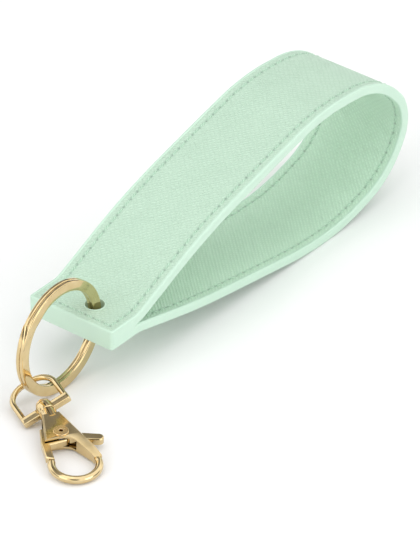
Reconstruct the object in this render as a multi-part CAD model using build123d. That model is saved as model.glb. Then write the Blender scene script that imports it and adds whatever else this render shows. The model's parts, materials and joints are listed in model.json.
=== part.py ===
from build123d import *
import os
from math import acos, atan2, cos, degrees, hypot, pi, radians, sin, sqrt, tan

# Wristlet keychain: a padded leather-look strap folded into a teardrop loop, a split key ring
# through its two ends, and a swivel trigger clasp threaded on the ring.
# Millimetres. While it is built, X runs from the sewn end of the strap towards the loop's bend,
# Y across the strap's width and Z up, with z = 0 on the table. At the end every piece moves
# together, so that the origin is the middle of the underside of the whole object's box.

# ---- strap -----------------------------------------------------------------------------------
strap_width = 26.0
loop_length = 118.2           # sewn end to the outside of the bend
loop_height = 39.4            # table to the top of the loop
skin_thickness = 1.1          # the outer and the inner leather
core_thickness = 0.4          # stiffener between them
bond_thickness = 0.2          # glue between the two ends
paint_thickness = 0.35        # edge paint
end_height = 14.7             # table to the middle of the sewn end
end_straight = 10.8           # sewn end to the point where the two branches part
end_bend_radius = 10.0
run_share = 0.48              # share of a run that each of its two arcs may take

# ---- stitching -------------------------------------------------------------------------------
thread_width = 0.6
thread_depth = 0.25           # the thread lies flush in a channel this deep
edge_inset = 2.4              # edge of the strap to the middle of a thread

# ---- key ring --------------------------------------------------------------------------------
ring_outer_radius = 15.0
ring_band = 2.7               # radial width of the flat wire
coil_thickness = 1.03
coil_gap = 0.06
ramp_angle = 26.0             # the stretch where one coil crosses over to the other
ramp_place = 150.0            # its angle round the ring, from +X towards +Z
coil_end_gap = 1.2            # degrees between a coil's free end and the ramp
hole_play = 0.381             # ring's wire to the wall of its hole
hole_from_end = 7.1
hole_from_edge = 11.1

# ---- swivel eye ------------------------------------------------------------------------------
eye_width = 13.0
eye_height = 11.6             # middle of the base bar to the top of the loop
eye_wire = 1.5
eye_corner_radius = 4.5
bar_height = 2.5
bar_thickness = 1.6
boss_radius = 2.2
eye_place = (-19.35, 4.7, 3.43)  # middle of the base bar
eye_heading = 65.0
eye_pitch = 5.0
eye_roll = 22.0

# ---- swivel and clasp ------------------------------------------------------------------------
swivel_slop = 6.0             # how far the clasp leans in its loose hole
swivel_pitch = 5.0
shank_radius = 1.0
head_radius = 1.9
head_height = 1.0
tail_radius = 1.28            # the spring's long leg leans on it
tail_height = 0.6
loose_gap = 0.12              # play round and under the swivel's head
neck_radius = 2.2
neck_length = 1.6
casing_thickness = 4.0
casing_top_width = 4.5
casing_low_width = 9.4
casing_bevel = 0.5
plate_thickness = 0.7
casing_roof = 1.4
side_wall = 0.9
lever_slot = (8.2, 15.0)      # where the thumb lever leaves the casing
hook_centre = 21.3            # swivel to the middle of the hook's bend
hook_outer_radius = 6.7
hook_wire = 2.0
hook_tip_angle = 24.0         # how far the tip rises above the hook's middle
opening_top = 12.6            # swivel to the casing's lower edge
arch_radius = 4.0
arch_offset = 1.2             # clasp's middle to the arch's middle, on the gate's side

# ---- trigger ---------------------------------------------------------------------------------
pivot = 10.8                  # swivel to the pivot
pin_radius = 1.0
pin_bore = 0.5
pin_flange_radius = 1.9
pin_flange_height = 0.3
running_clearance = 0.05
trigger_thickness = 2.0
trigger_bevel = 0.25
hub_radius = 2.5
gate_top = 7.4                # swivel to the gate's upper end
gate_bulge = 0.9              # how far it stands out of the casing
gate_width = 1.9
gate_tip_side = 5.6           # clasp's middle to the middle of the gate's end
gate_gap = 0.35               # gate's end to the hook's tip
lever_reach = 9.1
lever_width = 2.4
lever_slope = 23.0            # below square to the clasp
spring_wire = 0.3
spring_turns = 2.25
spring_radius = 1.45
spring_pitch = 0.33
spring_play = 0.05            # under the coil
spring_pocket_radius = 1.95
spring_pocket_depth = 1.05


# ---- strap shape -----------------------------------------------------------------------------
strap_thickness = 2 * skin_thickness + core_thickness
half_strap = strap_thickness / 2
end_rise = (strap_thickness + bond_thickness) / 2
loop_bend = (                 # corners of the strap's middle line, as parts of length and height
    (0.312, 0.697),
    (0.545, 0.871),
    (0.705, 0.983),
    (0.898, 0.929),
    (1.012, 0.557),
    (0.934, 0.165),
)
floor_run = (0.775, 0.645)    # ends of the stretch that lies on the table
lower_knee = (0.290, 0.194)


def loop_corners(start):
    """Corners (x, z) of the strap's middle line: out along the top branch and back below it."""
    upper = end_height + end_rise
    lower = end_height - end_rise
    bend = [(loop_length * a, loop_height * b) for a, b in loop_bend]
    floor = [(loop_length * a, half_strap) for a in floor_run]
    knee = (loop_length * lower_knee[0], loop_height * lower_knee[1])
    ends = [(start, lower)]
    return [(start, upper), (end_straight, upper), *bend, *floor, knee, (end_straight, lower)] + ends


def directions(points):
    """Unit direction and length of each run."""
    runs = []
    for (x0, z0), (x1, z1) in zip(points, points[1:]):
        length = hypot(x1 - x0, z1 - z0)
        runs.append(((x1 - x0) / length, (z1 - z0) / length, length))
    return runs


def bend_radii(points):
    """Signed radius of each corner, positive to the left: as large as its two runs allow."""
    runs = directions(points)
    radii = []
    for number, ((ax, az, a), (bx, bz, b)) in enumerate(zip(runs, runs[1:])):
        turn = acos(max(-1.0, min(1.0, ax * bx + az * bz)))
        left = 1 if ax * bz - az * bx > 0 else -1
        radius = run_share * min(a, b) / tan(turn / 2)
        if number in (0, len(runs) - 2):
            radius = end_bend_radius
        radii.append(left * radius)
    return radii


def moved_sideways(points, distance):
    """The corners of the same line moved to the left of its direction."""
    normals = [(-dz, dx) for dx, dz, _ in directions(points)]
    (nx, nz), (mx, mz) = normals[0], normals[-1]
    moved = [(points[0][0] + nx * distance, points[0][1] + nz * distance)]
    for (x, z), (ax, az), (bx, bz) in zip(points[1:], normals, normals[1:]):
        grow = distance / (1 + ax * bx + az * bz)
        moved.append((x + (ax + bx) * grow, z + (az + bz) * grow))
    moved.append((points[-1][0] + mx * distance, points[-1][1] + mz * distance))
    return moved


def strap_line(start, distance):
    """The loop's line at a distance outside its middle, as straight runs joined by tangent arcs."""
    points = loop_corners(start)
    radii = [abs(radius - distance) for radius in bend_radii(points)]
    return FilletPolyline(*moved_sideways(points, distance), radius=radii)


def strap_band(start, inside, outside, near, far):
    """A layer of the strap between two distances from its middle line, and from near to far in Y."""
    outer = strap_line(start, outside)
    inner = strap_line(start, inside)
    edges = outer.edges() + inner.edges() + [Line(outer @ 0, inner @ 0), Line(outer @ 1, inner @ 1)]
    face = make_face(edges)
    return extrude(Plane.XZ.offset(-near) * face, amount=near - far)


def box_between(low, high):
    """A box from its lowest to its highest corner."""
    size = [b - a for a, b in zip(low, high)]
    middle = [(a + b) / 2 for a, b in zip(low, high)]
    return Pos(*middle) * Box(*size)


def cylinder_between(place, direction, radius, length):
    """A cylinder that starts at a place and runs along a direction."""
    return extrude(Plane(origin=place, z_dir=direction) * Circle(radius), amount=length)


end_top = end_height + end_rise + half_strap
end_bottom = end_height - end_rise - half_strap
branch_slope = atan2(loop_height * loop_bend[0][1] - end_height - end_rise,
                     loop_length * loop_bend[0][0] - end_straight)
flat_end = end_straight - (end_bend_radius + half_strap) * tan(branch_slope / 2)
inner_thread_start = flat_end - 1
half_thread = thread_width / 2


def ring_hole():
    """The punched hole that the key ring goes through."""
    place = (hole_from_end, hole_from_edge, end_bottom - 1)
    return cylinder_between(place, (0, 0, 1), hole_radius, end_top - end_bottom + 2)


def edge_threads(middle):
    """The two strands of a row of stitches along one edge: on the outer face and on the inner one."""
    near, far = middle - half_thread, middle + half_thread
    start = edge_inset - half_thread
    outer = strap_band(start, half_strap - thread_depth, half_strap, near, far)
    inner = strap_band(inner_thread_start, -half_strap, -half_strap + thread_depth, near, far)
    return outer, inner


def end_threads():
    """The two strands of the row across the sewn end: on the top face and on the bottom one."""
    x0, x1 = edge_inset - half_thread, edge_inset + half_thread
    y0, y1 = edge_inset + half_thread, strap_width - edge_inset - half_thread
    top = box_between((x0, y0, end_top - thread_depth), (x1, y1, end_top))
    bottom = box_between((x0, y0, end_bottom), (x1, y1, end_bottom + thread_depth))
    return top, bottom


def strap_pieces():
    """Skins, stiffener, glue, edge paint and threads."""
    near, far = paint_thickness, strap_width - paint_thickness
    hole = ring_hole()
    near_outer, near_inner = edge_threads(edge_inset)
    far_outer, far_inner = edge_threads(strap_width - edge_inset)
    end_upper, end_lower = end_threads()
    half_core = core_thickness / 2
    outer_skin = strap_band(paint_thickness, half_core, half_strap, near, far)
    outer_skin = outer_skin - hole - near_outer - far_outer - end_upper - end_lower
    inner_skin = strap_band(paint_thickness, -half_strap, -half_core, near, far)
    inner_skin = inner_skin - hole - near_inner - far_inner
    core = strap_band(paint_thickness, -half_core, half_core, near, far) - hole
    bond_half = bond_thickness / 2
    bond = box_between((paint_thickness, near, end_height - bond_half),
                       (flat_end, far, end_height + bond_half)) - hole
    paint_near = strap_band(0, -half_strap, half_strap, 0, paint_thickness)
    paint_far = strap_band(0, -half_strap, half_strap, far, strap_width)
    paint_end = box_between((0, near, end_bottom), (paint_thickness, far, end_top))
    return {
        "strap_outer_skin": outer_skin,
        "strap_inner_skin": inner_skin,
        "strap_stiffener": core,
        "strap_end_bond": bond,
        "edge_paint_near": paint_near,
        "edge_paint_far": paint_far,
        "edge_paint_end": paint_end,
        "edge_thread_near": Compound([near_outer, near_inner]),
        "edge_thread_far": Compound([far_outer, far_inner]),
        "end_thread": Compound([end_upper, end_lower]),
    }


# ---- key ring --------------------------------------------------------------------------------
ring_inner_radius = ring_outer_radius - ring_band
ring_middle_radius = ring_outer_radius - ring_band / 2
ring_thickness = 2 * coil_thickness + coil_gap
ring_centre = (
    hole_from_end - sqrt(ring_middle_radius ** 2 - (end_height - ring_outer_radius) ** 2),
    hole_from_edge,
    ring_outer_radius,
)


def wire_reach():
    """Furthest that the ring's wire comes from the middle of its hole, within the sewn end."""
    reach = 0
    level = min(max(ring_outer_radius, end_bottom), end_top)
    for radius in (ring_inner_radius, ring_outer_radius):
        for height in (end_bottom, level, end_top):
            run = sqrt(radius ** 2 - (height - ring_outer_radius) ** 2)
            reach = max(reach, abs(ring_centre[0] + run - hole_from_end))
    return hypot(reach, ring_thickness / 2)


hole_radius = wire_reach() + hole_play


def ring_sector(start, sweep, low, high):
    """Part of a flat ring, from one angle on, between two levels along its axis."""
    outer = CenterArc((0, 0), ring_outer_radius, start, sweep)
    inner = CenterArc((0, 0), ring_inner_radius, start, sweep)
    face = make_face([outer, inner, Line(outer @ 0, inner @ 0), Line(outer @ 1, inner @ 1)])
    return extrude(Pos(0, 0, low) * face, amount=high - low)


def key_ring():
    """Two flat coils, one above the other, joined by a ramp where one crosses over to the other."""
    upper = coil_thickness + coil_gap
    ramp_start = ramp_place - ramp_angle / 2
    ramp_end = ramp_place + ramp_angle / 2
    turn = 360 - ramp_angle - coil_end_gap
    lower_coil = ring_sector(ramp_end + coil_end_gap, turn, 0, coil_thickness)
    upper_coil = ring_sector(ramp_end, turn, upper, ring_thickness)
    half_run = ring_inner_radius * sin(radians(ramp_angle / 2)) * 0.9
    far_out = ring_outer_radius
    slope = make_face(Polyline(
        (-far_out, 0), (-half_run, 0), (half_run, upper), (far_out, upper),
        (far_out, ring_thickness), (half_run, ring_thickness), (-half_run, coil_thickness),
        (-far_out, coil_thickness), close=True))
    across = Plane(origin=(0, 0, 0), x_dir=(0, 1, 0), z_dir=(1, 0, 0))
    ramp_band = extrude(across * slope, amount=ring_outer_radius * 1.1)
    ramp_band = Rot(0, 0, ramp_place) * ramp_band
    ramp = ring_sector(ramp_start, ramp_angle, 0, ring_thickness) & ramp_band
    ring = lower_coil + ramp + upper_coil
    stand = Plane(origin=ring_centre, x_dir=(1, 0, 0), z_dir=(0, -1, 0))
    return stand.location * Pos(0, 0, -ring_thickness / 2) * ring


# ---- swivel eye ------------------------------------------------------------------------------
def level_frame(place, heading, pitch, roll):
    """Frame whose Y points along a heading and rises by a pitch, then turned about it by a roll."""
    h, p, r = radians(heading), radians(pitch), radians(roll)
    ahead = Vector(cos(h) * cos(p), sin(h) * cos(p), sin(p))
    right = Vector(sin(h), -cos(h), 0)
    face = right.cross(ahead)
    return Plane(origin=place, x_dir=right * cos(r) + face * sin(r),
                 z_dir=face * cos(r) - right * sin(r))


eye_frame = level_frame(eye_place, eye_heading, eye_pitch, eye_roll)
clasp_frame = level_frame(eye_place, eye_heading - swivel_slop, swivel_pitch, 0)
lean = radians(swivel_slop)
bar_hole_radius = shank_radius / cos(lean) + bar_height / 2 * tan(lean) + loose_gap
head_gap = bar_height / 2 / cos(lean) + boss_radius * sin(lean) + loose_gap


def swivel_eye():
    """A rounded loop of wire on a flat base bar, with a bored boss in the middle of the bar."""
    leg = (eye_width - eye_wire) / 2
    top = eye_height - eye_wire / 2
    path = FilletPolyline((-leg, 0), (-leg, top), (leg, top), (leg, 0), radius=eye_corner_radius)
    loop = sweep(Plane(origin=path @ 0, z_dir=path % 0) * Circle(eye_wire / 2), path=path)
    bar = Box(eye_width, bar_height, bar_thickness)
    boss = cylinder_between((0, -bar_height / 2, 0), (0, 1, 0), boss_radius, bar_height)
    hole = cylinder_between((0, -bar_height, 0), (0, 1, 0), bar_hole_radius, 2 * bar_height)
    return eye_frame.location * (loop + bar + boss - hole)


# ---- clasp -----------------------------------------------------------------------------------
# In the clasp's own frame X is across it, towards the thumb lever, Z is out of its front face,
# and the swivel is at the origin with the hook below it, on -Y.
half_casing = casing_thickness / 2
half_gap = half_casing - plate_thickness
neck_start = head_gap
casing_start = neck_start + neck_length
hook_middle_radius = hook_outer_radius - hook_wire / 2
hook_inner_radius = hook_outer_radius - hook_wire


def swivel_rivet():
    """Headed pin through the eye's bar and the clasp's neck, spread inside the casing."""
    tail_start = casing_start + casing_roof
    shank = cylinder_between((0, head_gap, 0), (0, -1, 0), shank_radius, head_gap + tail_start)
    head = cylinder_between((0, head_gap, 0), (0, 1, 0), head_radius, head_height)
    head = fillet(head.edges().sort_by(Axis.Y)[-1], head_height * 0.7)
    tail = cylinder_between((0, -tail_start, 0), (0, -1, 0), tail_radius, tail_height)
    return shank + head + tail


def casing_outline():
    """The clasp seen from the front: a tapered casing that runs into the hook's outer side."""
    top = casing_top_width / 2
    dx, dy = -top, hook_centre - casing_start
    angle = atan2(dy, top) - acos(hook_outer_radius / hypot(dx, dy))
    tangent = (hook_outer_radius * cos(angle), hook_outer_radius * sin(angle) - hook_centre)
    body = make_face(Polyline(
        (-top, -casing_start), (top, -casing_start), tangent, (hook_outer_radius, -hook_centre),
        (0, -hook_centre), (-casing_low_width / 2, -opening_top), close=True))
    bend = Pos(0, -hook_centre) * Circle(hook_outer_radius)
    corner = Pos(hook_outer_radius, -hook_centre + hook_outer_radius) * Rectangle(
        2 * hook_outer_radius, 2 * hook_outer_radius)
    return body + (bend & corner)


def hook_opening():
    """The space inside the hook: a large circle below a smaller one, joined by tangents."""
    low = Pos(0, -hook_centre) * Circle(hook_inner_radius)
    high = Pos(-arch_offset, -opening_top - arch_radius) * Circle(arch_radius)
    return make_hull(low.edges() + high.edges())


def clasp_body():
    """Cast casing with its neck, side slots, arch and hook, as one piece."""
    side = make_face(Polyline(
        (casing_start, -half_casing), (opening_top, -half_casing), (hook_centre, -hook_wire / 2),
        (hook_centre, hook_wire / 2), (opening_top, half_casing), (casing_start, half_casing),
        close=True))
    side_plane = Plane(origin=(-20, 0, 0), x_dir=(0, -1, 0), z_dir=(1, 0, 0))
    envelope = extrude(side_plane * side, amount=40)
    block = extrude(Pos(0, 0, -half_casing) * casing_outline(), amount=casing_thickness)
    faces = block.faces().sort_by(Axis.Z)
    block = chamfer(faces[0].edges() + faces[-1].edges(), casing_bevel)
    opening = extrude(Pos(0, 0, -casing_thickness) * hook_opening(), amount=2 * casing_thickness)
    gate_side = box_between((-20, -hook_centre - 20, -10), (-arch_offset, -opening_top, 10))
    casing = (block & envelope) - opening - gate_side
    roof = casing_start + casing_roof
    top_inside = casing_top_width / 2 - side_wall * 0.6
    pocket = make_face(Polyline(
        (-20, -roof), (top_inside, -roof), (top_inside + side_wall, -lever_slot[0]),
        (20, -lever_slot[0]), (20, -lever_slot[1]), (-20, -lever_slot[1]), close=True))
    casing = casing - extrude(Pos(0, 0, -half_gap) * pocket, amount=2 * half_gap)
    neck = cylinder_between((0, -neck_start, 0), (0, -1, 0), neck_radius, neck_length + casing_roof)
    arc = CenterArc((0, -hook_centre), hook_middle_radius, 180 - hook_tip_angle,
                    180 + hook_tip_angle)
    hook = sweep(Plane(origin=arc @ 0, z_dir=arc % 0) * Circle(hook_wire / 2), path=arc)
    shank_bore = cylinder_between((0, 0, 0), (0, -1, 0), shank_radius, roof + 1)
    pin_bore_cut = cylinder_between((0, -pivot, -half_casing - 1), (0, 0, 1), pin_radius,
                                    casing_thickness + 2)
    return casing + neck + hook - shank_bore - pin_bore_cut


def pivot_rivet():
    """Hollow rivet through both plates, with a flange on each face."""
    tube = cylinder_between((0, -pivot, -half_casing), (0, 0, 1), pin_radius, casing_thickness)
    front = cylinder_between((0, -pivot, half_casing), (0, 0, 1), pin_flange_radius,
                             pin_flange_height)
    back = cylinder_between((0, -pivot, -half_casing), (0, 0, -1), pin_flange_radius,
                            pin_flange_height)
    bore = cylinder_between((0, -pivot, -casing_thickness), (0, 0, 1), pin_bore,
                            2 * casing_thickness)
    return tube + front + back - bore


def trigger():
    """Flat lever on the pivot: the gate on one side, the thumb lever on the other."""
    hub = Pos(0, -pivot) * Circle(hub_radius)
    taper = (casing_low_width - casing_top_width) / 2 / (opening_top - casing_start)
    upper_edge = -casing_top_width / 2 - taper * (gate_top - casing_start) - gate_bulge
    lower_edge = -casing_low_width / 2 - gate_bulge
    tip_outside = -gate_tip_side - gate_width / 2
    tip_inside = -gate_tip_side + gate_width / 2
    gate = make_face(Polyline(
        (upper_edge, -gate_top), (lower_edge, -opening_top), (tip_outside, -hook_centre),
        (tip_inside, -hook_centre), (lower_edge + gate_width, -opening_top - 1),
        (0, -pivot - hub_radius), (0, -pivot + hub_radius), (upper_edge + gate_width, -gate_top),
        close=True))
    tip = (-hook_inner_radius * cos(radians(hook_tip_angle)),
           hook_inner_radius * sin(radians(hook_tip_angle)) - hook_centre)
    reach = Pos(0, -pivot) * Circle(hypot(tip[0], tip[1] + pivot) - gate_gap)
    lever = Pos(0, -pivot) * Rot(0, 0, -lever_slope) * Pos(lever_reach / 2, 0) * (
        SlotOverall(lever_reach + lever_width, lever_width))
    outline = hub + (gate & reach) + lever
    body = extrude(Pos(0, 0, -trigger_thickness / 2) * outline, amount=trigger_thickness)
    faces = body.faces().sort_by(Axis.Z)
    body = chamfer(faces[0].edges() + faces[-1].edges(), trigger_bevel)
    bore = cylinder_between((0, -pivot, -5), (0, 0, 1), pin_radius + running_clearance, 10)
    pocket_floor = trigger_thickness / 2 - spring_pocket_depth
    pocket = cylinder_between((0, -pivot, pocket_floor), (0, 0, 1), spring_pocket_radius, 5)
    leg_recess = box_between((spring_radius - 1.5 * spring_wire, -pivot, pocket_floor),
                             (2 * hub_radius, -pivot + 2 * hub_radius, 5))
    return body - bore - pocket - leg_recess


def trigger_spring():
    """Torsion spring round the pivot: the short leg turns the trigger, the long leg leans on the
    swivel rivet's tail."""
    low = trigger_thickness / 2 - spring_pocket_depth + spring_wire / 2 + spring_play
    helix = Helix(spring_pitch, spring_pitch * spring_turns, spring_radius, lefthand=True)
    coil = sweep(Plane(origin=helix @ 0, z_dir=helix % 0) * Circle(spring_wire / 2), path=helix,
                 is_frenet=True)
    long_leg = cylinder_between(helix @ 0, (0, 1, 0), spring_wire / 2,
                                pivot - casing_start - casing_roof - tail_height / 2)
    reach = sqrt(spring_pocket_radius ** 2 - spring_radius ** 2)
    short_leg = cylinder_between(helix @ 1, helix % 1, spring_wire / 2, reach - spring_wire)
    corners = [Pos(*(helix @ end)) * Sphere(spring_wire / 2) for end in (0, 1)]
    return Pos(0, -pivot, low) * (coil + long_leg + short_leg + corners)


def clasp_pieces():
    """The clasp's pieces, put in the clasp's place."""
    pieces = {
        "clasp_body": clasp_body(),
        "swivel_rivet": swivel_rivet(),
        "pivot_rivet": pivot_rivet(),
        "trigger": trigger(),
        "trigger_spring": trigger_spring(),
    }
    return {name: clasp_frame.location * piece for name, piece in pieces.items()}


# ---- the whole object ------------------------------------------------------------------------
pieces = strap_pieces()
pieces["key_ring"] = key_ring()
pieces["swivel_eye"] = swivel_eye()
pieces.update(clasp_pieces())

boxes = [piece.bounding_box() for piece in pieces.values()]
origin = Vector(
    (min(box.min.X for box in boxes) + max(box.max.X for box in boxes)) / 2,
    (min(box.min.Y for box in boxes) + max(box.max.Y for box in boxes)) / 2,
    min(box.min.Z for box in boxes),
)
os.makedirs("parts", exist_ok=True)
for name, piece in pieces.items():
    export_step(Pos(-origin.X, -origin.Y, -origin.Z) * piece, f"parts/{name}.step")
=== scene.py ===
"""Wristlet keychain: a mint leather strap folded into a loop, a split key ring and a swivel clasp.

Pieces stand in metres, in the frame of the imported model. Sizes of shapes are written in millimetres
and multiplied by MM where a shape is put in its place. Shapes are numpy surfaces: a function of two
parameters on a grid, or a profile carried along a path.
"""

import json

import bmesh
import bpy
import numpy as np
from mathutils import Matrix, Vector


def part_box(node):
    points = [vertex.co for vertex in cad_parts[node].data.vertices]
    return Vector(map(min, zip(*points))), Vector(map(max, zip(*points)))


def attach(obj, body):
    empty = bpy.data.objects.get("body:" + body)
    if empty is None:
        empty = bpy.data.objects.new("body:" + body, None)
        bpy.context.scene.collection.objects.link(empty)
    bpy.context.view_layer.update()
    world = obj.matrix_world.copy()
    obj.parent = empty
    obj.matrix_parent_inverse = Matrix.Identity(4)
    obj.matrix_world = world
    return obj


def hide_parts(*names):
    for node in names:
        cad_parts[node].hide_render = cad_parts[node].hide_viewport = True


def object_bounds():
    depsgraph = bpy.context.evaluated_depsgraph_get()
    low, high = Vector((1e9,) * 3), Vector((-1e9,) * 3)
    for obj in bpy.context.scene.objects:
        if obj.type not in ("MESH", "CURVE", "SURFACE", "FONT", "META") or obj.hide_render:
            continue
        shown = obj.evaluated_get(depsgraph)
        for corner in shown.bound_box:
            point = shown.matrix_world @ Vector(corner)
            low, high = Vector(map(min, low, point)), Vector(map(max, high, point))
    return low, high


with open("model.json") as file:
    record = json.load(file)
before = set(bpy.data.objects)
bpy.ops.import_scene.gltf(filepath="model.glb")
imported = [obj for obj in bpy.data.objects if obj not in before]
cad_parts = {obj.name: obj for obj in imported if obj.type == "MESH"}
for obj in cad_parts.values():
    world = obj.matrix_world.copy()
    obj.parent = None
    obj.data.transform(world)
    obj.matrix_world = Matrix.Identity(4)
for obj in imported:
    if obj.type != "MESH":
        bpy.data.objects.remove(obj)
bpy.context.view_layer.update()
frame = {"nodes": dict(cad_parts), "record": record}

MM = 0.001
WHITE = (1.0, 1.0, 1.0, 1.0)

# ---- meshes ----------------------------------------------------------------------------------


def new_piece(name, points, faces, material, smooth=True):
    """A mesh object from an array of points and a list of arrays of faces, with its material."""
    mesh = bpy.data.meshes.new(name)
    mesh.from_pydata(points.reshape(-1, 3), [], [f for part in faces for f in part.tolist()])
    mesh.polygons.foreach_set("use_smooth", np.full(len(mesh.polygons), smooth))
    mesh.materials.append(material)
    mesh.update()
    piece = bpy.data.objects.new(name, mesh)
    bpy.context.scene.collection.objects.link(piece)
    return piece


def grid_faces(rows, columns, close_rows=False, close_columns=False, first=0):
    """Quads of a grid of rows x columns points, numbered row by row, joined round where it closes."""
    i = np.arange(rows if close_rows else rows - 1)[:, None]
    j = np.arange(columns if close_columns else columns - 1)[None, :]
    a, b = i * columns, (i + 1) % rows * columns
    k = (j + 1) % columns
    return np.stack([a + j, b + j, b + k, a + k], -1).reshape(-1, 4) + first


def fan_caps(rows, columns, first=0):
    """One face over the first row of a tube's grid and one over the last, wound as grid_faces is."""
    ring = np.arange(columns)
    return [(ring + first)[None], (ring[::-1] + (rows - 1) * columns + first)[None]]


def tube_along(path, side, up, profile):
    """A closed profile carried along a path: point = path + side * p + up * q for every (p, q)."""
    p, q = profile[..., 0], profile[..., 1]
    return path[:, None] + side[:, None] * p[..., None] + up[:, None] * q[..., None]


def rounded_box_profile(low_p, high_p, low_q, high_q, radius, per_corner=6):
    """Counter-clockwise outline of a rectangle whose corners are quarter circles of one radius."""
    turn = np.linspace(0, np.pi / 2, per_corner)
    corners = ((high_p, high_q, 0), (low_p, high_q, 1), (low_p, low_q, 2), (high_p, low_q, 3))
    outline = []
    for p, q, quarter in corners:
        angle = turn + quarter * np.pi / 2
        cp = p - radius if quarter in (0, 3) else p + radius
        cq = q - radius if quarter in (0, 1) else q + radius
        outline.append(np.stack([cp + radius * np.cos(angle), cq + radius * np.sin(angle)], -1))
    return np.concatenate(outline)


def attribute(piece, name, values):
    """A number per point, for the piece's material."""
    layer = piece.data.attributes.new(name, "FLOAT", "POINT")
    layer.data.foreach_set("value", np.ascontiguousarray(values, dtype=np.float32).ravel())


def along_and_across(piece, along, across):
    """UV map from two numbers per point: distance along the strap and across it, in centimetres."""
    loops = np.empty(len(piece.data.loops), dtype=np.int32)
    piece.data.loops.foreach_get("vertex_index", loops)
    uv = np.stack([along.ravel()[loops], across.ravel()[loops]], -1) * 0.1
    piece.data.uv_layers.new(name="strap").data.foreach_set("uv", uv.ravel().astype(np.float32))


# ---- materials -------------------------------------------------------------------------------


GRAIN_RIDGES, GRAIN_NICKS = 8.5, 6.5    # per centimetre
# Painted shade: the dark mint put into the needle holes for the shade that falls inside them.
NEEDLE_HOLE_PAINTED_SHADE = (0.12, 0.20, 0.16, 1.0)
PLIES_ALONG, PLIES_ROUND = 9.0, 3.0


class Finish:
    """A material being put together from nodes."""

    def __init__(self, name, **sockets):
        self.material = bpy.data.materials.new(name)
        self.material.use_nodes = True
        self.nodes = self.material.node_tree.nodes
        self.shader = self.nodes["Principled BSDF"]
        for socket, value in sockets.items():
            self.shader.inputs[socket.replace("_", " ")].default_value = value

    def node(self, kind, settings=(), **inputs):
        """A node with its settings and its inputs, each a value or another node's output."""
        made = self.nodes.new("ShaderNode" + kind)
        for setting, value in dict(settings).items():
            setattr(made, setting, value)
        for name, value in inputs.items():
            socket = made.inputs[int(name[1:]) if name[1:].isdigit() else name.replace("_", " ")]
            self.put(value, socket)
        return made

    def put(self, value, socket):
        """A value or a node's output into a socket."""
        if isinstance(value, bpy.types.NodeSocket):
            self.material.node_tree.links.new(value, socket)
        else:
            socket.default_value = value

    def math(self, operation, a, b=0.0):
        return self.node("Math", {"operation": operation}, _0=a, _1=b).outputs[0]

    def mix(self, share, dark, light):
        """A colour between two, by a share from 0 to 1."""
        made = self.node("Mix", {"data_type": "RGBA"}, _0=share, _6=dark, _7=light)
        return made.outputs[2]

    def ramp(self, value, low, high, to_low=0.0, to_high=1.0):
        made = self.node("MapRange", (), Value=value, From_Min=low, From_Max=high,
                         To_Min=to_low, To_Max=to_high)
        return made.outputs[0]

    def noise(self, place, scale, detail, roughness=0.5):
        made = self.node("TexNoise", (), Vector=place, Scale=scale, Detail=detail,
                         Roughness=roughness)
        return made.outputs["Fac"]

    def place(self, kind="Object"):
        return self.node("TexCoord").outputs[kind]

    def bump(self, height, distance, strength):
        made = self.node("Bump", (), Height=height, Distance=distance, Strength=strength)
        return made.outputs[0]


def saffiano(name, colour, shade):
    """Cross-grained leather: fine slanting ridges crossed by slanting nicks, with painted shade in
    the needle holes, and a little unevenness of colour and gloss."""
    finish = Finish(name, Specular_IOR_Level=0.45, Sheen_Weight=0.05)
    uv = finish.place("UV")
    split = finish.node("SeparateXYZ", (), Vector=uv)
    wander = finish.math("MULTIPLY", finish.noise(uv, 9.0, 2.0), 0.10)
    along = finish.math("ADD", split.outputs[0], wander)
    across = finish.math("SUBTRACT", split.outputs[1], wander)
    down = finish.math("ADD", along, across)
    up = finish.math("SUBTRACT", along, across)
    ridge = finish.math("SINE", finish.math("MULTIPLY", down, 2 * np.pi * GRAIN_RIDGES))
    nick = finish.math("SINE", finish.math("MULTIPLY", up, 2 * np.pi * GRAIN_NICKS))
    ridge = finish.ramp(ridge, -0.6, 0.9)
    nick = finish.ramp(nick, -0.95, -0.2)
    grain = finish.math("MULTIPLY", ridge, nick)
    fine = finish.noise(uv, 110.0, 3.0, 0.6)
    height = finish.math("ADD", grain, finish.math("MULTIPLY", fine, 0.35))
    patch = finish.noise(uv, 1.3, 3.0)
    needle = finish.node("Attribute", {"attribute_name": "needle"}).outputs["Fac"]
    tone = finish.math("ADD", finish.math("MULTIPLY", grain, 0.55),
                       finish.math("MULTIPLY", patch, 0.45))
    colour = finish.mix(tone, shade, colour)
    # Painted shade in the needle holes: the colour darkens toward the dark mint with each pit's
    # depth.
    colour = finish.mix(finish.math("MULTIPLY", needle, 0.75), colour, NEEDLE_HOLE_PAINTED_SHADE)
    finish.put(colour, finish.shader.inputs["Base Color"])
    finish.put(finish.ramp(grain, 0.0, 1.0, 0.62, 0.44), finish.shader.inputs["Roughness"])
    finish.put(finish.bump(height, 0.00012, 0.9), finish.shader.inputs["Normal"])
    return finish.material


def painted_edge(name, colour, shade):
    """Smooth edge paint: satin, faintly wavy, a touch darker in patches."""
    finish = Finish(name, Specular_IOR_Level=0.5, Coat_Weight=0.12, Coat_Roughness=0.3)
    place = finish.place()
    slow = finish.noise(place, 160.0, 2.0)
    fine = finish.noise(place, 2600.0, 2.0)
    finish.put(finish.mix(slow, shade, colour), finish.shader.inputs["Base Color"])
    finish.put(finish.ramp(fine, 0.3, 0.7, 0.36, 0.46), finish.shader.inputs["Roughness"])
    finish.put(finish.bump(slow, 0.0002, 0.5), finish.shader.inputs["Normal"])
    return finish.material


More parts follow.
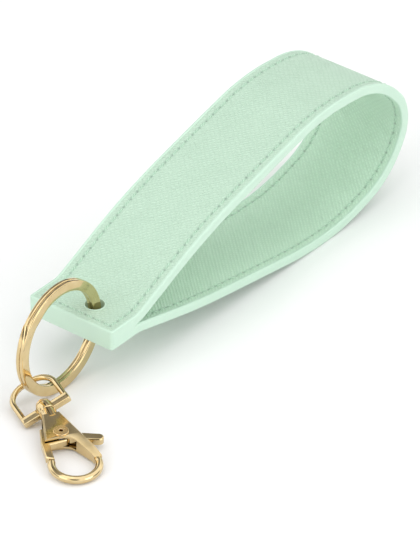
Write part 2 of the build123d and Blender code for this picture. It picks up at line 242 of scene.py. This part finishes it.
def twisted_thread(name, colour, shade):
    """Polyester thread: slanting plies round the strand."""
    finish = Finish(name, Specular_IOR_Level=0.4, Sheen_Weight=0.3, Sheen_Roughness=0.4)
    split = finish.node("SeparateXYZ", (), Vector=finish.place("UV"))
    twist = finish.math("ADD", finish.math("MULTIPLY", split.outputs[0], 2 * np.pi * PLIES_ALONG),
                        finish.math("MULTIPLY", split.outputs[1], 2 * np.pi * PLIES_ROUND))
    ply = finish.ramp(finish.math("SINE", twist), -1.0, 1.0)
    finish.put(finish.mix(ply, shade, colour), finish.shader.inputs["Base Color"])
    finish.put(finish.ramp(ply, 0.0, 1.0, 0.7, 0.5), finish.shader.inputs["Roughness"])
    finish.put(finish.bump(ply, 0.00004, 0.8), finish.shader.inputs["Normal"])
    return finish.material


def polished_metal(name, colour, shade, roughness, brushed=0.0):
    """Plated metal: nearly mirror bright, with slight swells, fine rubbing marks and dull patches."""
    finish = Finish(name, Metallic=1.0)
    place = finish.place()
    swell = finish.noise(place, 240.0, 1.0)
    patch = finish.noise(place, 420.0, 3.0)
    rub = finish.noise(place, 5200.0, 2.0)
    finish.put(finish.mix(patch, shade, colour), finish.shader.inputs["Base Color"])
    gloss = finish.math("ADD", finish.ramp(patch, 0.3, 0.75, roughness, roughness * 1.5),
                        finish.math("MULTIPLY", rub, brushed))
    finish.put(gloss, finish.shader.inputs["Roughness"])
    height = finish.math("ADD", swell, finish.math("MULTIPLY", rub, 0.02))
    finish.put(finish.bump(height, 0.00008, 0.35), finish.shader.inputs["Normal"])
    return finish.material


GOLDEN = (0.78, 0.63, 0.37, 1.0)
GOLDEN_SHADE = (0.62, 0.46, 0.22, 1.0)
leather_face = saffiano("mint cross-grained leather", (0.570, 0.755, 0.610, 1.0),
                        (0.455, 0.635, 0.495, 1.0))
# Painted light: the lining is the same mint leather as the face, given a lighter colour to offset the
# shade inside the loop.
lining_leather_painted_lighter = saffiano("mint lining leather painted lighter", (0.640, 0.850, 0.680, 1.0),
                          (0.520, 0.720, 0.560, 1.0))
edge_paint = painted_edge("mint edge paint", (0.555, 0.745, 0.610, 1.0),
                          (0.525, 0.715, 0.580, 1.0))
thread = twisted_thread("mint thread", (0.540, 0.750, 0.590, 1.0), (0.330, 0.510, 0.380, 1.0))
ring_gold = polished_metal("gold-plated ring wire", GOLDEN, GOLDEN_SHADE, 0.06, 0.02)
cast_gold = polished_metal("gold-plated casting", GOLDEN, GOLDEN_SHADE, 0.07, 0.02)
rivet_gold = polished_metal("gold-plated rivet", (0.85, 0.67, 0.40, 1.0),
                            (0.74, 0.54, 0.28, 1.0), 0.12, 0.05)
spring_steel = polished_metal("spring steel", (0.55, 0.54, 0.52, 1.0), (0.40, 0.39, 0.37, 1.0),
                              0.22, 0.05)

# ---- strap -----------------------------------------------------------------------------------
LENGTH, HEIGHT = 118.2, 39.4         # loop
HALF = 1.3                           # half the strap's thickness
GLUE = 0.2
END_HEIGHT = 14.7                    # glue's middle above the table
PARTING = 10.8                       # sewn end to the corner where the branches part
PARTING_RADIUS = 10.0
RUN_SHARE = 0.48                     # part of the shorter run that a corner's arc takes
# Corners of the loop's middle line, as shares of its length and height.
BEND = ((0.312, 0.697), (0.545, 0.871), (0.705, 0.983), (0.898, 0.929), (1.012, 0.557),
        (0.934, 0.165))
FLOOR_RUN = (0.775, 0.645)
KNEE = (0.290, 0.194)
STITCH_INSET = 2.4
PITCH = 2.8                          # needle hole to needle hole
INNER_START = 12.5                   # inner rows begin past the corner where the branches part
HOLE_X, HOLE_Y, HOLE_RADIUS = 7.1, 11.1, 2.4
EDGE = 0.45                          # leather's rim lies this far inside the painted edge
CROWN = 0.10
CHANNEL_WIDTH, CHANNEL_DEPTH = 0.55, 0.12
PIT_WIDTH, PIT_DEPTH = 0.32, 0.22

near_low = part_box("edge_paint_near")[0]
far_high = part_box("edge_paint_far")[1]
CORNER = np.array([near_low[0], near_low[1], 0.0])
WIDTH = (far_high[1] - near_low[1]) / MM


def middle_line():
    """The strap's middle line, as distance along it, x, z and heading, every twentieth of a
    millimetre. The heading is constant along a straight run and linear in distance along an arc."""
    rise = HALF + GLUE / 2
    ends = np.array([(0, END_HEIGHT + rise), (PARTING, END_HEIGHT + rise)])
    bend = np.array(BEND) * (LENGTH, HEIGHT)
    floor = np.array([(LENGTH * share, HALF) for share in FLOOR_RUN])
    back = np.array([(LENGTH * KNEE[0], HEIGHT * KNEE[1]), (PARTING, END_HEIGHT - rise),
                     (0, END_HEIGHT - rise)])
    corners = np.concatenate([ends, bend, floor, back])
    runs = np.diff(corners, axis=0)
    lengths = np.hypot(*runs.T)
    headings = np.unwrap(np.arctan2(runs[:, 1], runs[:, 0]))
    turns = np.diff(headings)
    radii = RUN_SHARE * np.minimum(lengths[:-1], lengths[1:]) / np.tan(np.abs(turns) / 2)
    radii[[0, -1]] = PARTING_RADIUS
    cuts = radii * np.tan(np.abs(turns) / 2)
    straights = lengths - np.append(cuts, 0) - np.append(0, cuts)
    steps = np.stack([straights, np.append(radii * np.abs(turns), 0)], -1).ravel()[:-1]
    knots = np.concatenate([[0], np.cumsum(steps)])
    at_knots = np.append(np.repeat(headings, 2)[:-1], headings[-1])
    along = np.linspace(0, knots[-1], int(knots[-1] * 20))
    heading = np.interp(along, knots, at_knots)
    step = along[1] - along[0]
    middle = (heading[1:] + heading[:-1]) / 2
    x = np.concatenate([[0], np.cumsum(np.cos(middle)) * step])
    z = END_HEIGHT + rise + np.concatenate([[0], np.cumsum(np.sin(middle)) * step])
    return along, x, z, heading


LINE = middle_line()
STRAP_LENGTH = LINE[0][-1]


def strap_point(along, across, out):
    """Point at a distance along the middle line, across from the near edge and outwards from it:
    middle line + across * Y + out * outward normal."""
    along, across, out = np.broadcast_arrays(along, across, out)
    x, z, heading = (np.interp(along, LINE[0], values) for values in LINE[1:])
    point = np.stack([x - out * np.sin(heading), across, z + out * np.cos(heading)], -1)
    return point * MM + CORNER


def slab(name, lower, upper, keep, material):
    """A closed sheet between two grids of points, with the quads that keep marks; every edge where
    a kept quad meets a dropped one, or the border, gets a wall."""
    rows, columns = lower.shape[:2]
    number = np.arange(rows * columns).reshape(rows, columns)
    above = number + rows * columns

    def quads(table):
        corners = (table[:-1, :-1], table[1:, :-1], table[1:, 1:], table[:-1, 1:])
        return np.stack(corners, -1)[keep]

    framed = np.pad(keep, 1)
    faces = [quads(above), quads(number)[:, ::-1]]
    here, before = framed[1:, 1:-1], framed[:-1, 1:-1]
    for wanted, flip in ((here & ~before, False), (~here & before, True)):
        i, j = np.nonzero(wanted)
        wall = np.stack([number[i, j], above[i, j], above[i, j + 1], number[i, j + 1]], -1)
        faces.append(wall[:, ::-1] if flip else wall)
    here, before = framed[1:-1, 1:], framed[1:-1, :-1]
    for wanted, flip in ((here & ~before, True), (~here & before, False)):
        i, j = np.nonzero(wanted)
        wall = np.stack([number[i, j], above[i, j], above[i + 1, j], number[i + 1, j]], -1)
        faces.append(wall[:, ::-1] if flip else wall)
    points = np.concatenate([lower.reshape(-1, 3), upper.reshape(-1, 3)])
    return new_piece(name, points, faces, material)


def needle_rows(first, last):
    """Distances along a row of the needle holes between two limits, evenly spread."""
    return np.linspace(first, last, int(round((last - first) / PITCH)) + 1)


outer_holes = needle_rows(STITCH_INSET, STRAP_LENGTH - STITCH_INSET)
inner_holes = needle_rows(INNER_START, STRAP_LENGTH - INNER_START)
end_holes = needle_rows(STITCH_INSET, WIDTH - STITCH_INSET)


def dip(distance, width):
    """A bell curve of a distance: exp(-(distance / width) squared)."""
    return np.exp(-(distance / width) ** 2)


def nearest(values, places):
    """Distance of each value from the nearest of the places."""
    edges = (places[1:] + places[:-1]) / 2
    return np.abs(values - places[np.searchsorted(edges, values)])


def stitched_face(along, across, holes, ends):
    """Height of a leather face and how deep each point is in a needle hole: a low crown, a soft
    channel along each row of stitches and a pit at each needle hole."""
    crown = CROWN * np.sqrt(np.clip(1 - (2 * across / WIDTH - 1) ** 2, 0, 1)) - CROWN
    from_row = np.minimum(np.abs(across - STITCH_INSET), np.abs(WIDTH - STITCH_INSET - across))
    within = (along > holes[0] - 0.8) & (along < holes[-1] + 0.8)
    channel = dip(from_row, CHANNEL_WIDTH) * within
    pit = dip(np.hypot(from_row, nearest(along, holes)), PIT_WIDTH) * within
    if ends:
        from_end = np.abs(np.minimum(along, STRAP_LENGTH - along) - STITCH_INSET)
        between = (across > STITCH_INSET) & (across < WIDTH - STITCH_INSET)
        channel = np.maximum(channel, dip(from_end, CHANNEL_WIDTH) * between)
        end_pit = dip(np.hypot(from_end, nearest(across, end_holes)), PIT_WIDTH) * between
        pit = np.maximum(pit, end_pit)
    return crown - CHANNEL_DEPTH * channel - PIT_DEPTH * pit, pit


def leather_layer(name, side, holes, ends, material):
    """One leather, from the strap's middle to its face: side is 1 outside and -1 inside. Its grid
    is finer at the rows of stitches and round the ring's hole."""
    start = EDGE if ends else EDGE + 0.2
    places = np.linspace(start, STRAP_LENGTH - start, 760)
    past_row, coarse = 1.2, 4.2
    across_rows = [np.linspace(EDGE, STITCH_INSET + past_row, 12),
                   np.linspace(coarse, WIDTH - coarse, 30),
                   np.linspace(WIDTH - STITCH_INSET - past_row, WIDTH - EDGE, 12)]
    along, across = np.meshgrid(places, np.concatenate(across_rows), indexing="ij")
    from_end = np.minimum(along, STRAP_LENGTH - along)
    height, pit = stitched_face(along, across, holes, ends)
    radius = HOLE_RADIUS + 0.12
    away = np.hypot(from_end - HOLE_X, across - HOLE_Y)
    in_hole = away < radius
    reach = np.where(in_hole, radius / np.maximum(away, 1e-6), 1.0)
    moved_end = HOLE_X + (from_end - HOLE_X) * reach
    moved_across = HOLE_Y + (across - HOLE_Y) * reach
    moved_along = np.where(along < STRAP_LENGTH / 2, moved_end, STRAP_LENGTH - moved_end)
    lower = strap_point(moved_along, moved_across, side * 0.02)
    upper = strap_point(moved_along, moved_across, side * (HALF + height))
    quads_in = in_hole[:-1, :-1] & in_hole[1:, :-1] & in_hole[1:, 1:] & in_hole[:-1, 1:]
    if side < 0:
        lower, upper = lower[:, ::-1], upper[:, ::-1]
        quads_in, pit = quads_in[:, ::-1], pit[:, ::-1]
        moved_along, moved_across = moved_along[:, ::-1], moved_across[:, ::-1]
    piece = slab(name, lower, upper, ~quads_in, material)
    # How deep each point lies in a needle hole; the leather paints shade there by this depth.
    attribute(piece, "needle", np.concatenate([pit.ravel() * 0, pit.ravel()]))
    along_and_across(piece, np.tile(moved_along.ravel(), 2), np.tile(moved_across.ravel(), 2))
    return piece


def loop_edge(name, near):
    """Painted edge of the loop: a rounded band carried along the strap, from inside the upper
    branch of the sewn end to inside its lower branch."""
    start, deep, proud, corner = 6.8, 0.95, 0.03, 0.42
    along = np.linspace(start, STRAP_LENGTH - start, 800)
    profile = rounded_box_profile(0.0, deep, -HALF - proud, HALF + proud, corner)
    across = profile[:, 0] if near else WIDTH - profile[:, 0]
    points = strap_point(along[:, None], across[None], profile[None, :, 1])
    faces = grid_faces(*points.shape[:2], close_columns=True)
    caps = fan_caps(*points.shape[:2])
    if not near:
        faces, caps = faces[:, ::-1], [cap[:, ::-1] for cap in caps]
    return new_piece(name, points, [faces, *caps], edge_paint)


def end_edge():
    """Painted edge round the sewn end: a tall rounded band carried along the end's outline, a U
    with rounded corners in plan, whose two ends sink by a square law into the fork."""
    radius, rim, depth, proud, rounding = 0.9, 0.02, 0.9, 0.035, 0.43
    tip, level, sink = 11.3, 7.4, 0.6
    turn = np.linspace(0, np.pi / 2, 12)
    fork = np.linspace(tip, level, 14)
    sunk = sink * ((fork - level) / 3.9) ** 2 - rim
    corner = np.stack([radius - rim - radius * np.sin(turn),
                       radius - rim - radius * np.cos(turn)], -1)
    half = np.concatenate([np.stack([fork, sunk], -1), corner])
    plan = np.concatenate([half, half[::-1] * (1, -1) + (0, WIDTH)])
    ahead = np.gradient(plan, axis=0)
    ahead /= np.hypot(*ahead.T)[:, None]
    tall = 2 * HALF + GLUE / 2 + proud
    profile = rounded_box_profile(-depth, 0.0, -tall, tall, rounding)
    path = np.concatenate([plan, np.full((len(plan), 1), END_HEIGHT)], 1)
    side = np.stack([ahead[:, 1], -ahead[:, 0], 0 * ahead[:, 0]], -1) * -1
    up = np.broadcast_to([0.0, 0.0, 1.0], path.shape)
    points = tube_along(path, side, up, profile) * MM + CORNER
    faces = grid_faces(*points.shape[:2], close_columns=True)
    return new_piece("painted_edge_of_the_sewn_end", points,
                     [faces, *fan_caps(*points.shape[:2])], edge_paint)


def stitches(places, height_at, radius=0.27, share=0.82):
    """Stitches of one row: each is a flattened strand that rises from one needle hole and sinks in
    the next. Height along it is a half sine above the face less a dive at both ends."""
    count_along, count_round = 11, 8
    t = np.linspace(-1, 1, count_along)
    angle = np.linspace(0, 2 * np.pi, count_round, endpoint=False)
    middle = (places[1:] + places[:-1]) / 2
    half = (places[1:] - places[:-1]) / 2 * share
    thin = radius * (0.55 + 0.45 * np.sqrt(1 - t ** 2 * 0.96))
    along = middle[:, None, None] + half[:, None, None] * t[None, :, None] + 0 * angle
    across = thin[None, :, None] * np.cos(angle) + 0 * along
    out = -0.11 - 0.28 * np.abs(t[None, :, None]) ** 3 + thin[None, :, None] * 0.8 * np.sin(angle)
    points = height_at(along, across, out + 0 * along)
    size = count_along * count_round
    faces = [grid_faces(count_along, count_round, close_columns=True),
             *fan_caps(count_along, count_round)]
    first = np.arange(len(middle))[:, None, None] * size
    every = [(part[None] + first).reshape(-1, part.shape[-1]) for part in faces]
    strand = np.broadcast_to(t[None, :, None] * 0.12, along.shape)
    return points, every, strand, np.broadcast_to(angle / (2 * np.pi), along.shape)


def stitch_piece(name, rows):
    """Rows of stitches as one piece, with its UV map along and round each strand."""
    points, faces, strands, rounds, first = [], [], [], [], 0
    for places, height_at, flip in rows:
        row, parts, strand, angle = stitches(places, height_at)
        points.append(row.reshape(-1, 3))
        faces += [(part[:, ::-1] if flip else part) + first for part in parts]
        strands.append(strand.ravel())
        rounds.append(angle.ravel())
        first += row.size // 3
    piece = new_piece(name, np.concatenate(points), faces, thread)
    along_and_across(piece, np.concatenate(strands) * 10, np.concatenate(rounds) * 10)
    return piece


def edge_rows(line):
    """The outer and the inner row of stitches along one edge, at a distance across the strap."""
    def outer(along, across, out):
        return strap_point(along, line + across, HALF + out)

    def inner(along, across, out):
        return strap_point(along, line + across, -HALF - out)
    return [(outer_holes, outer, True), (inner_holes, inner, False)]


def end_rows():
    """The row across the sewn end, on its upper and on its lower face."""
    def upper(along, across, out):
        return strap_point(STITCH_INSET + across, along, HALF + out)

    def lower(along, across, out):
        return strap_point(STRAP_LENGTH - STITCH_INSET + across, along, HALF + out)
    return [(end_holes, upper, False), (end_holes, lower, False)]


def hole_lining():
    """Painted wall of the ring's hole: a rounded band turned round the hole's axis."""
    turn = np.linspace(0, 2 * np.pi, 96, endpoint=False)
    wall, proud, rounding = 0.32, 0.10, 0.13
    tall = 2 * HALF + GLUE / 2 + proud
    profile = rounded_box_profile(HOLE_RADIUS, HOLE_RADIUS + wall, -tall, tall, rounding, 4)
    radial = np.stack([np.cos(turn), np.sin(turn), 0 * turn], -1)
    centre = np.broadcast_to([HOLE_X, HOLE_Y, END_HEIGHT], radial.shape)
    up = np.broadcast_to([0.0, 0.0, 1.0], radial.shape)
    points = tube_along(centre, radial, up, profile) * MM + CORNER
    faces = grid_faces(*points.shape[:2], close_rows=True, close_columns=True)
    return new_piece("lined_ring_hole", points, [faces[:, ::-1]], edge_paint)


outer = leather_layer("outer_leather", 1, outer_holes, True, leather_face)
# The inner leather's lighter colour is painted light against the shade inside the loop.
inner = leather_layer("inner_leather", -1, inner_holes, False, lining_leather_painted_lighter)
near_edge = loop_edge("painted_near_edge", True)
far_edge = loop_edge("painted_far_edge", False)
sewn_end = end_edge()
lining = hole_lining()
near_thread = stitch_piece("near_edge_stitches", edge_rows(STITCH_INSET))
far_thread = stitch_piece("far_edge_stitches", edge_rows(WIDTH - STITCH_INSET))
end_thread = stitch_piece("end_stitches", end_rows())

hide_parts("strap_outer_skin")
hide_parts("strap_inner_skin", "strap_stiffener", "strap_end_bond")
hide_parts("edge_paint_near")
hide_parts("edge_paint_far")
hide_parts("edge_paint_end")
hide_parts("edge_thread_near")
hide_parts("edge_thread_far")
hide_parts("end_thread")
for piece, slot in ((outer, "outer_leather"), (inner, "inner_leather"), (near_edge, "edge_paint"),
                    (far_edge, "edge_paint"), (sewn_end, "edge_paint"), (lining, "edge_paint"),
                    (near_thread, "thread"), (far_thread, "thread"), (end_thread, "thread")):
    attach(piece, "strap")

# ---- key ring --------------------------------------------------------------------------------
RING_BAND, COIL, COIL_GAP = 2.7, 1.03, 0.06
ring_low, ring_high = (np.array(corner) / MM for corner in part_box("key_ring"))


def key_ring():
    """Split ring: a flat rounded wire carried twice round a circle. Where it crosses from one level
    to the other its two ends taper to nothing on either side of it, along a slanting line: the
    wire's floor and ceiling at a point are blends of levels by a smooth share of the crossing."""
    centre = (ring_low + ring_high) / 2
    radius = (ring_high[2] - ring_low[2]) / 2 - RING_BAND / 2
    step, slant, place = np.radians((22, 40, 145))
    rounding, tip = 0.30, 0.02
    travel = np.linspace(-step, 4 * np.pi, 560)[:, None]
    profile = rounded_box_profile(-RING_BAND / 2, RING_BAND / 2, 0, COIL, rounding, 5)
    begun, crossed, ended = (np.clip((travel - turned) / step + 1, 0, 1)
                             for turned in (0, 2 * np.pi, 4 * np.pi))
    low, high = -COIL - COIL_GAP / 2, COIL + COIL_GAP / 2
    floor = low + (COIL + COIL_GAP) * crossed + COIL * ended
    ceiling = low + COIL * np.maximum(begun, tip) + (COIL + COIL_GAP) * crossed
    ceiling = np.minimum(ceiling, high)
    floor = np.minimum(floor, ceiling - tip)
    level = floor + (ceiling - floor) * profile[:, 1] / COIL
    angle = place + travel + slant * profile[:, 0] / RING_BAND
    radial = np.stack([np.cos(angle), 0 * angle, np.sin(angle)], -1)
    points = centre + radial * (radius + profile[:, :1]) + level[..., None] * (0.0, -1.0, 0.0)
    faces = grid_faces(*points.shape[:2], close_columns=True)
    return new_piece("split_ring_wire", points * MM, [faces, *fan_caps(*points.shape[:2])],
                     ring_gold)


ring = key_ring()
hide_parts("key_ring")
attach(ring, "ring")

# ---- swivel eye ------------------------------------------------------------------------------
EYE_WIDTH, EYE_HEIGHT, EYE_WIRE, EYE_CORNER = 13.0, 11.6, 1.5, 4.5
BAR = (2.5, 1.6)                     # height and thickness of the base bar
BOSS_RADIUS, BOSS_BORE = 2.2, 1.26
EYE_TURN, EYE_PITCH, EYE_ROLL = np.radians((6.0, 5.0, 22.0))
joints = {joint["name"]: joint for joint in frame["record"]["behaviour"]["joints"]}
swivel_place = np.array(joints["clasp_swivel"]["pos_m"])
clasp_up = np.array(joints["clasp_swivel"]["axis"])


def eye_axes():
    """The eye's own directions: right along its bar, ahead to its top, and out of its face."""
    heading = np.arctan2(clasp_up[1], clasp_up[0]) + EYE_TURN
    ahead = np.array([np.cos(heading) * np.cos(EYE_PITCH), np.sin(heading) * np.cos(EYE_PITCH),
                      np.sin(EYE_PITCH)])
    right = np.array([np.sin(heading), -np.cos(heading), 0.0])
    face = np.cross(right, ahead)
    return np.stack([right * np.cos(EYE_ROLL) + face * np.sin(EYE_ROLL), ahead,
                     face * np.cos(EYE_ROLL) - right * np.sin(EYE_ROLL)])


def in_eye(points):
    """Points of the eye's own frame, in millimetres, put in their place."""
    return points @ eye_axes() * MM + swivel_place


def swivel_eye():
    """A round wire carried along an arch, a rounded bar across its feet and a bored boss turned
    round the bar's middle."""
    leg, top = (EYE_WIDTH - EYE_WIRE) / 2, EYE_HEIGHT - EYE_WIRE / 2
    turn = np.linspace(0, np.pi / 2, 22)
    corner = (leg - EYE_CORNER, top - EYE_CORNER)
    right = np.stack([corner[0] + EYE_CORNER * np.cos(turn),
                      corner[1] + EYE_CORNER * np.sin(turn)], -1)
    foot = np.stack([np.full(8, leg), np.linspace(-0.4, corner[1], 8, endpoint=False)], -1)
    half = np.concatenate([foot, right])
    outline = np.concatenate([half, half[::-1] * (-1, 1)])
    path = np.concatenate([outline, np.zeros((len(outline), 1))], 1)
    ahead = np.gradient(outline, axis=0)
    ahead /= np.hypot(*ahead.T)[:, None]
    side = np.stack([ahead[:, 1], -ahead[:, 0], 0 * ahead[:, 0]], -1)
    up = np.broadcast_to([0.0, 0.0, 1.0], side.shape)
    angle = np.linspace(0, 2 * np.pi, 20, endpoint=False)
    round_wire = np.stack([np.cos(angle), np.sin(angle)], -1) * EYE_WIRE / 2
    wire = tube_along(path, side, up, round_wire)
    across = np.concatenate([[0, 0.12, 0.3], np.linspace(0.5, EYE_WIDTH - 0.5, 40),
                             EYE_WIDTH - np.array([0.3, 0.12, 0])])
    shrink = np.sqrt(np.clip(1 - (1 - np.clip(np.minimum(across, EYE_WIDTH - across) / 0.35,
                                              0, 1)) ** 2, 0, 1)) * 0.3 - 0.3
    profile = rounded_box_profile(-BAR[0] / 2, BAR[0] / 2, -BAR[1] / 2, BAR[1] / 2, 0.35, 5)
    grow = np.sign(profile)[None] * shrink[:, None, None]
    middle = np.stack([across - EYE_WIDTH / 2, 0 * across, 0 * across], -1)
    bar_up = np.broadcast_to([0.0, 1.0, 0.0], middle.shape)
    bar_out = np.broadcast_to([0.0, 0.0, 1.0], middle.shape)
    bar = tube_along(middle, bar_up, bar_out, profile[None] + grow)
    turn = np.linspace(0, 2 * np.pi, 64, endpoint=False)
    radial = np.stack([np.cos(turn), 0 * turn, np.sin(turn)], -1)
    axis = np.broadcast_to([0.0, 1.0, 0.0], radial.shape)
    ring_profile = rounded_box_profile(BOSS_BORE, BOSS_RADIUS + 0.02, -BAR[0] / 2 - 0.03,
                                       BAR[0] / 2 + 0.03, 0.28, 5)
    boss = tube_along(np.zeros((64, 3)), radial, axis, ring_profile)
    shapes = (wire, bar, boss)
    closed = (False, False, True)
    points = in_eye(np.concatenate([shape.reshape(-1, 3) for shape in shapes]))
    faces, first = [], 0
    for shape, ring_shaped in zip(shapes, closed):
        rows, columns = shape.shape[:2]
        faces.append(grid_faces(rows, columns, ring_shaped, True, first))
        if not ring_shaped:
            faces += fan_caps(rows, columns, first)
        first += rows * columns
    return new_piece("swivel_eye_casting", points, faces, cast_gold)


eye = swivel_eye()
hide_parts("swivel_eye")
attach(eye, "eye")

# ---- clasp -----------------------------------------------------------------------------------
MERGE_DISTANCE = 2e-6
FLAT_ANGLE, HARD_ANGLE = 0.6, 28     # degrees: below is one flat, above is an edge to round


def rounded_copy(node, name, material, width, body):
    """A copy of a CAD piece with its points merged and its hard edges rounded, in place of it."""
    mesh = frame["nodes"][node].data.copy()
    shape = bmesh.new()
    shape.from_mesh(mesh)
    bmesh.ops.remove_doubles(shape, verts=shape.verts, dist=MERGE_DISTANCE)
    bmesh.ops.dissolve_limit(shape, angle_limit=np.radians(FLAT_ANGLE), verts=shape.verts,
                             edges=shape.edges)
    shape.to_mesh(mesh)
    shape.free()
    mesh.materials.clear()
    mesh.materials.append(material)
    mesh.polygons.foreach_set("use_smooth", np.full(len(mesh.polygons), True))
    piece = bpy.data.objects.new(name, mesh)
    bpy.context.scene.collection.objects.link(piece)
    bevel = piece.modifiers.new("rounded_edges", "BEVEL")
    bevel.width = width
    bevel.segments = 3
    bevel.limit_method = "ANGLE"
    bevel.angle_limit = np.radians(HARD_ANGLE)
    bevel.harden_normals = True
    flats = piece.modifiers.new("even_flats", "WEIGHTED_NORMAL")
    flats.keep_sharp = True
    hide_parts(node)
    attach(piece, body)
    return piece


rounded_copy("clasp_body", "clasp_casing_and_hook", cast_gold, 0.16 * MM, "clasp")
rounded_copy("trigger", "trigger_lever_and_gate", cast_gold, 0.14 * MM, "gate")
rounded_copy("pivot_rivet", "hollow_pivot_rivet", rivet_gold, 0.10 * MM, "clasp")
rounded_copy("swivel_rivet", "clasp_swivel_rivet", rivet_gold, 0.05 * MM, "clasp")
spring = frame["nodes"]["trigger_spring"]
spring.data.materials.clear()
spring.data.materials.append(spring_steel)

# ---- floor, light and camera -----------------------------------------------------------------


def stage_plane(name, centre, size, facing, colour):
    """A flat sheet of the studio that looks along a direction."""
    along = np.array(facing) / np.linalg.norm(facing)
    helper = np.array([0.0, 0.0, 1.0]) if abs(along[2]) < 0.9 else np.array([0.0, 1.0, 0.0])
    side = np.cross(helper, along)
    side /= np.linalg.norm(side)
    up = np.cross(along, side)
    corners = np.array([(-1, -1), (1, -1), (1, 1), (-1, 1)]) * np.array(size) / 2
    points = np.array(centre) + corners[:, :1] * side + corners[:, 1:] * up
    finish = Finish(name, Base_Color=colour, Roughness=0.9, Specular_IOR_Level=0.1)
    new_piece(name, points, [np.array([[0, 1, 2, 3]])], finish.material, False)


def area_light(name, place, target, size, power):
    """A square soft light that looks at a point."""
    data = bpy.data.lights.new(name, "AREA")
    data.size = size
    data.energy = power
    light = bpy.data.objects.new(name, data)
    bpy.context.scene.collection.objects.link(light)
    light.location = place
    light.rotation_euler = look_along(np.array(target) - np.array(place))


def look_along(direction):
    """Euler angles that turn -Z along a direction and keep X level."""
    x, y, z = np.array(direction) / np.linalg.norm(direction)
    return (np.arccos(-z), 0.0, np.arctan2(-x, y))


floor_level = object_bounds()[0][2]
FLOOR_GAP = 0.00002
stage_plane("studio_floor", (0, 0, floor_level - FLOOR_GAP), (8, 8), (0, 0, 1),
            (0.90, 0.90, 0.90, 1.0))
area_light("soft_box_above", (-0.25, 0.35, 0.9), (0, 0, 0), 0.9, 1.0)
area_light("soft_box_on_the_left", (-0.9, 0.1, 0.45), (0, 0, 0.01), 0.5, 0.8)
area_light("soft_box_at_the_front", (0.0, -0.9, 0.30), (0.02, 0, 0.01), 0.5, 1.3)


def studio_world(cards):
    """A white tent with dark cards in it, all far away. A card darkens the directions near its own:
    the distance from it, with each axis weighed, passes through a smooth step."""
    sky = bpy.data.worlds.new("white_tent")
    sky.use_nodes = True
    nodes, links = sky.node_tree.nodes, sky.node_tree.links
    direction = nodes.new("ShaderNodeTexCoord").outputs["Generated"]
    total = None
    for centre, weights, inner, outer, level in cards:
        away = nodes.new("ShaderNodeVectorMath")
        away.operation = "SUBTRACT"
        away.inputs[1].default_value = centre
        links.new(direction, away.inputs[0])
        weighed = nodes.new("ShaderNodeVectorMath")
        weighed.operation = "MULTIPLY"
        weighed.inputs[1].default_value = weights
        links.new(away.outputs["Vector"], weighed.inputs[0])
        distance = nodes.new("ShaderNodeVectorMath")
        distance.operation = "LENGTH"
        links.new(weighed.outputs["Vector"], distance.inputs[0])
        step = nodes.new("ShaderNodeMapRange")
        step.interpolation_type = "SMOOTHSTEP"
        for socket, value in zip(("From Min", "From Max", "To Min"), (inner, outer, level)):
            step.inputs[socket].default_value = value
        links.new(distance.outputs["Value"], step.inputs["Value"])
        both = nodes.new("ShaderNodeMath")
        both.operation = "MULTIPLY"
        both.inputs[0].default_value = TENT_BRIGHTNESS
        if total:
            links.new(total, both.inputs[0])
        links.new(step.outputs[0], both.inputs[1])
        total = both.outputs[0]
    links.new(total, nodes["Background"].inputs["Strength"])
    nodes["Background"].inputs["Color"].default_value = WHITE
    return sky


TENT_BRIGHTNESS = 1.35
# Each card: direction, weights of the axes, distances where it starts to fade and is gone, its level.
DARK_CARDS = (((0.78, 0.62, 0.20), (1, 1, 6), 0.75, 0.95, 0.03),
              ((0.62, 0.50, 0.60), (1, 1, 1), 0.16, 0.40, 0.22),
              ((-0.65, -0.52, 0.55), (1, 1, 1), 0.22, 0.34, 0.04),
              ((0.55, -0.80, 0.20), (1, 1, 3), 0.36, 0.50, 0.04),
              ((-0.70, 0.68, 0.25), (1, 1, 3), 0.32, 0.45, 0.04),
              ((-0.10, 0.52, 0.84), (0.9, 2.6, 1.3), 0.42, 0.56, 0.04))
bpy.context.scene.world = studio_world(DARK_CARDS)
bpy.context.scene.view_settings.view_transform = "Standard"

CAMERA_PLACE = (-1.0078, -0.80565, 0.87465)
CAMERA_DIRECTION = (0.64985, 0.51904, -0.55524)
SENSOR_HEIGHT, FOCAL_LENGTH = 24.0, 281.37
lens = bpy.data.cameras.new("camera")
lens.sensor_fit = "VERTICAL"
lens.sensor_height = SENSOR_HEIGHT
lens.lens = FOCAL_LENGTH
lens.clip_end = 50.0
camera = bpy.data.objects.new("camera", lens)
bpy.context.scene.collection.objects.link(camera)
camera.location = CAMERA_PLACE
camera.rotation_euler = look_along(CAMERA_DIRECTION)
bpy.context.scene.camera = camera
